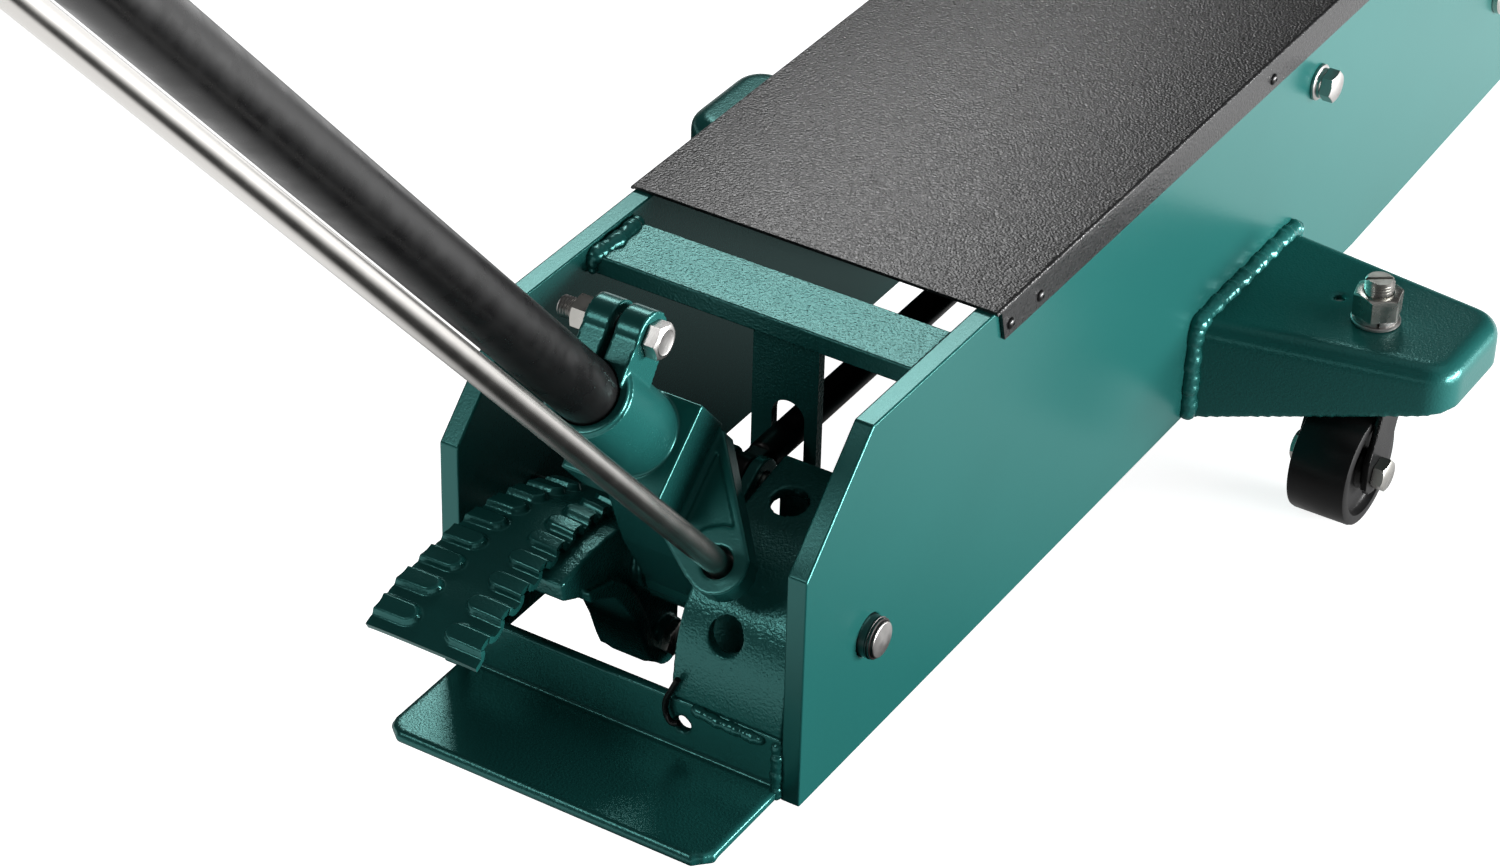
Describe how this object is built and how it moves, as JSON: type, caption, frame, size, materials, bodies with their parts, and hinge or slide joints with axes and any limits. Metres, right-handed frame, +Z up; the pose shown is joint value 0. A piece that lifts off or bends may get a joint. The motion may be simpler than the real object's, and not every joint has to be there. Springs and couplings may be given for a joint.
{
  "type": "car jack",
  "caption": "Long-chassis hydraulic trolley jack: plate frame, pump handle with release rod, foot pedal, castors on outriggers, lift arm and self-levelling saddle.",
  "frame": {"origin": "on the floor, under the middle of the jack's bounding box with the handle as it rests", "axes": "+X to the right seen from the handle end, +Y from the handle to the saddle, +Z up"},
  "size_m": [0.536, 2.2496, 1.1156],
  "materials": {
    "green_paint": "semi-gloss, lightly textured",
    "black_cover": "fine leather-grain texture, satin",
    "black_paint": "smooth semi-gloss",
    "zinc": "bright zinc",
    "chrome": "polished",
    "dark_steel": "dark turned steel",
    "rubber": "matte",
    "black_plastic": "satin moulded"
  },
  "bodies": {
    "chassis": {"side_plate_left": "green_paint", "side_plate_right": "green_paint", "rear_step_plate": "green_paint", "top_cross_bar": "green_paint", "coupling_guard": "green_paint", "guide_plate": "green_paint", "outrigger_left": "green_paint", "outrigger_right": "green_paint", "top_cover": "black_cover", "main_shaft": "dark_steel", "main_ring_left": "dark_steel", "main_ring_right": "dark_steel", "arm_shaft": "zinc", "front_axle": "zinc", "spacer_left": "dark_steel", "spacer_right": "dark_steel", "cross_tie": "green_paint", "side_bolt_left": "zinc", "side_bolt_right": "zinc", "level_stub_left": "zinc", "level_stub_right": "zinc", "unit_base": "green_paint", "pump_block": "green_paint", "reservoir": "green_paint", "wire_hook": "black_paint"},
    "handle": {"handle_socket": "green_paint", "handle_tube": "black_paint", "handle_bar": "black_paint", "handle_grip_left": "rubber", "handle_grip_right": "rubber", "clamp_bolt": "zinc", "clamp_nut": "zinc", "link_pin": "zinc", "rod_clip": "black_paint"},
    "release": {"release_rod": "chrome", "release_knob": "rubber"},
    "valve": {"valve_spindle": "zinc"},
    "pump_link": {"pump_link": "black_paint"},
    "plunger": {"pump_plunger": "chrome"},
    "pedal": {"pedal_plate": "green_paint", "pedal_arm": "green_paint", "pedal_bolt": "zinc"},
    "ram": {"ram_rod": "chrome"},
    "arm": {"lift_arm": "green_paint"},
    "level_links": {"level_link_left": "green_paint", "level_link_right": "green_paint"},
    "carrier": {"saddle_carrier": "green_paint", "carrier_pin": "zinc", "level_pin": "zinc"},
    "saddle": {"saddle_pad": "dark_steel"},
    "front_wheel_left": {"front_wheel_left": "black_paint"},
    "front_wheel_right": {"front_wheel_right": "black_paint"},
    "castor_left": {"castor_fork_left": "black_paint", "castor_nut_left": "zinc", "castor_axle_left": "zinc"},
    "castor_right": {"castor_fork_right": "black_paint", "castor_nut_right": "zinc", "castor_axle_right": "zinc"},
    "castor_wheel_left": {"castor_wheel_left": "black_plastic"},
    "castor_wheel_right": {"castor_wheel_right": "black_plastic"}
  },
  "joints": [
    {"name": "handle_swing", "type": "hinge", "parent": "chassis", "child": "handle", "pos_m": [0, -0.28319, 0.127], "axis": [-1, 0, 0], "range_deg": [-26, 26]},
    {"name": "release_twist", "type": "hinge", "parent": "handle", "child": "release", "pos_m": [0.06, -0.48685, 0.34736], "axis": [0, -0.6639, 0.7478], "range_deg": [0, 60]},
    {"name": "valve_turn", "type": "hinge", "parent": "chassis", "child": "valve", "pos_m": [0.045, 0.09981, 0.114], "axis": [0, -1, 0], "range_deg": [0, 60]},
    {"name": "link_pivot", "type": "hinge", "parent": "handle", "child": "pump_link", "pos_m": [0.0135, -0.25019, 0.172], "axis": [-1, 0, 0], "range_deg": [-29, 29]},
    {"name": "plunger_slide", "type": "slide", "parent": "chassis", "child": "plunger", "axis": [0, 1, 0], "range_m": [-0.0205, 0.0205]},
    {"name": "pedal_press", "type": "hinge", "parent": "chassis", "child": "pedal", "pos_m": [-0.033, -0.28319, 0.127], "axis": [1, 0, 0], "range_deg": [0, 20], "stiffness_Nm_per_rad": 12, "springref_deg": -20.05},
    {"name": "arm_lift", "type": "hinge", "parent": "chassis", "child": "arm", "pos_m": [0, 0.54981, 0.204], "axis": [1, 0, 0], "range_deg": [0, 50]},
    {"name": "ram_slide", "type": "slide", "parent": "chassis", "child": "ram", "axis": [0, 1, 0], "range_m": [0, 0.0755]},
    {"name": "level_links_lift", "type": "hinge", "parent": "chassis", "child": "level_links", "pos_m": [0, 0.53481, 0.144], "axis": [1, 0, 0], "range_deg": [0, 50]},
    {"name": "carrier_level", "type": "hinge", "parent": "arm", "child": "carrier", "pos_m": [0, 1.01118, 0.11432], "axis": [1, 0, 0], "range_deg": [-50, 0]},
    {"name": "saddle_swivel", "type": "hinge", "parent": "carrier", "child": "saddle", "pos_m": [0, 1.01118, 0.15432], "axis": [0, 0, 1], "continuous": true},
    {"name": "front_wheel_left_roll", "type": "hinge", "parent": "chassis", "child": "front_wheel_left", "pos_m": [-0.14, 1.04981, 0.075], "axis": [1, 0, 0], "continuous": true},
    {"name": "front_wheel_right_roll", "type": "hinge", "parent": "chassis", "child": "front_wheel_right", "pos_m": [0.14, 1.04981, 0.075], "axis": [1, 0, 0], "continuous": true},
    {"name": "castor_left_swivel", "type": "hinge", "parent": "chassis", "child": "castor_left", "pos_m": [-0.204, 0.15781, 0.114], "axis": [0, 0, 1], "continuous": true},
    {"name": "castor_right_swivel", "type": "hinge", "parent": "chassis", "child": "castor_right", "pos_m": [0.204, 0.15781, 0.114], "axis": [0, 0, 1], "continuous": true},
    {"name": "castor_wheel_left_roll", "type": "hinge", "parent": "castor_left", "child": "castor_wheel_left", "pos_m": [-0.204, 0.12981, 0.036], "axis": [1, 0, 0], "continuous": true},
    {"name": "castor_wheel_right_roll", "type": "hinge", "parent": "castor_right", "child": "castor_wheel_right", "pos_m": [0.204, 0.12981, 0.036], "axis": [1, 0, 0], "continuous": true}
  ],
  "couplings": [
    {"joint": "valve_turn", "follows": "release_twist", "ratio": 1},
    {"joint": "link_pivot", "follows": "handle_swing", "ratio": -1.1065},
    {"joint": "plunger_slide", "follows": "handle_swing", "m_per_rad": 0.0435},
    {"joint": "ram_slide", "follows": "arm_lift", "m_per_rad": 0.0858},
    {"joint": "level_links_lift", "follows": "arm_lift", "ratio": 1},
    {"joint": "carrier_level", "follows": "arm_lift", "ratio": -1}
  ]
}
